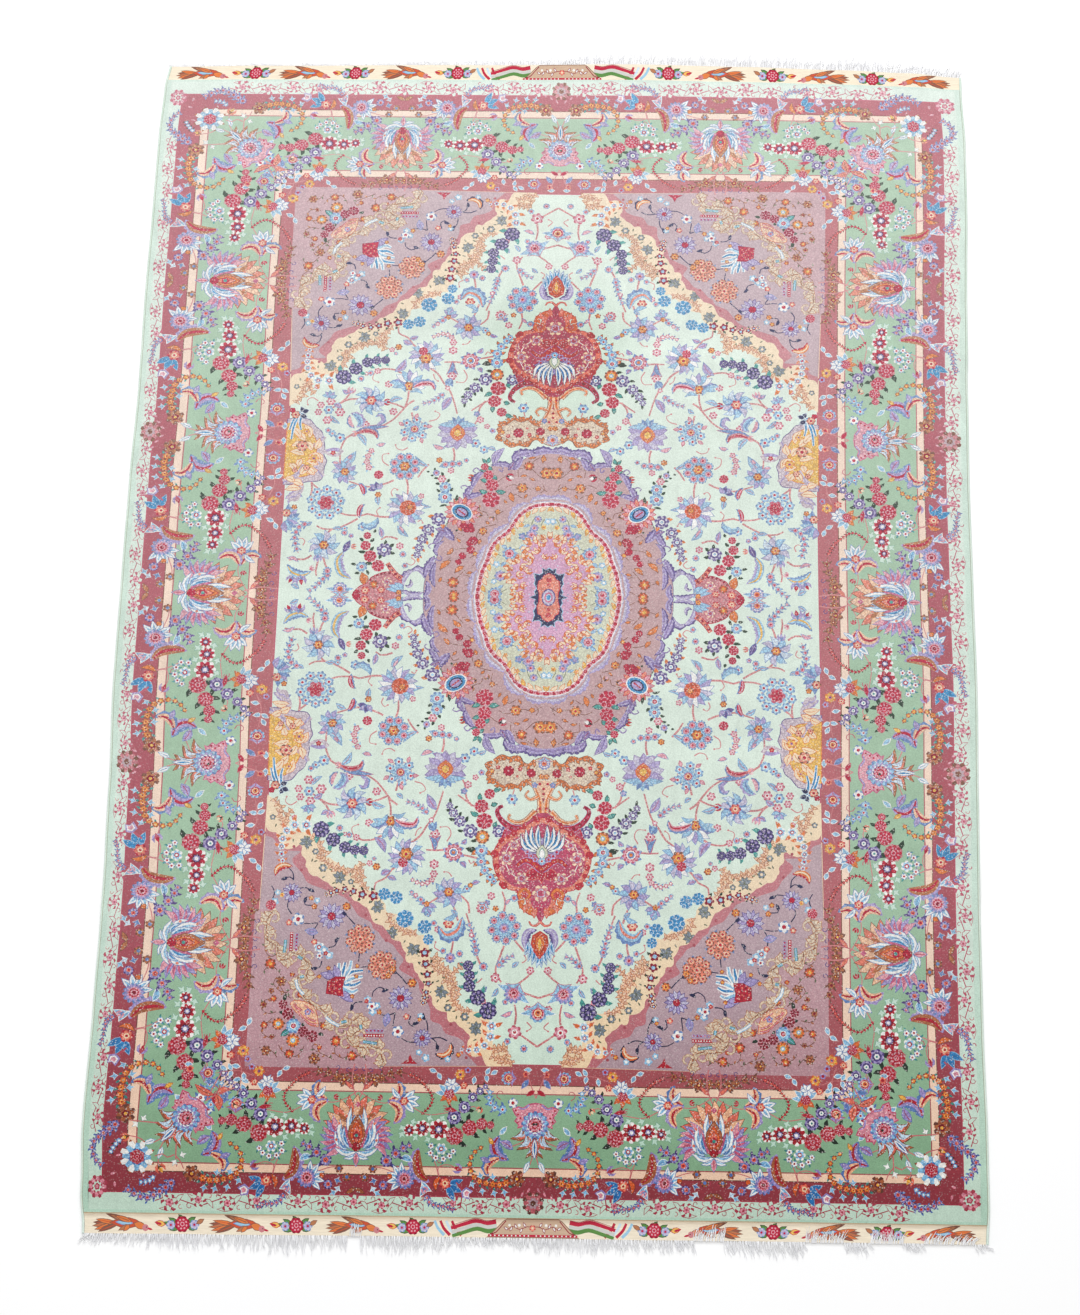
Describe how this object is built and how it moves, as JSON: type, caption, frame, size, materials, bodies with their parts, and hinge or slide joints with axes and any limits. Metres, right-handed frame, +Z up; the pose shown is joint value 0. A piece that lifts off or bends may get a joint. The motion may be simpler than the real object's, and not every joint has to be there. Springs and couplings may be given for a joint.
{
  "type": "persian rug",
  "caption": "Rectangular pile rug with floral medallion, corner pieces and borders, lying flat, with flat-woven end bands, overcast sides and short end fringes.",
  "frame": {"origin": "on the floor under the middle of the rug, fringes included", "axes": "+Y along the rug towards its far end, +X to its right side, +Z up out of the pile"},
  "size_m": [2.0279, 3.1318, 0.0109],
  "materials": {
    "pile": "short dense cut pile of fine wool with silk, soft directional sheen, floral pattern in mint, rose, green, cream, lilac and blue",
    "overcast_yarn": "pale mint wool yarn wrapped side by side over the edge warps",
    "warp_cotton": "bleached cotton warp ends, twisted and knotted in small locks, matt"
  },
  "bodies": {
    "root": {"rug_body": "pile", "selvedge_left": "overcast_yarn", "selvedge_right": "overcast_yarn", "fringe_near": "warp_cotton", "fringe_far": "warp_cotton"}
  },
  "joints": []
}
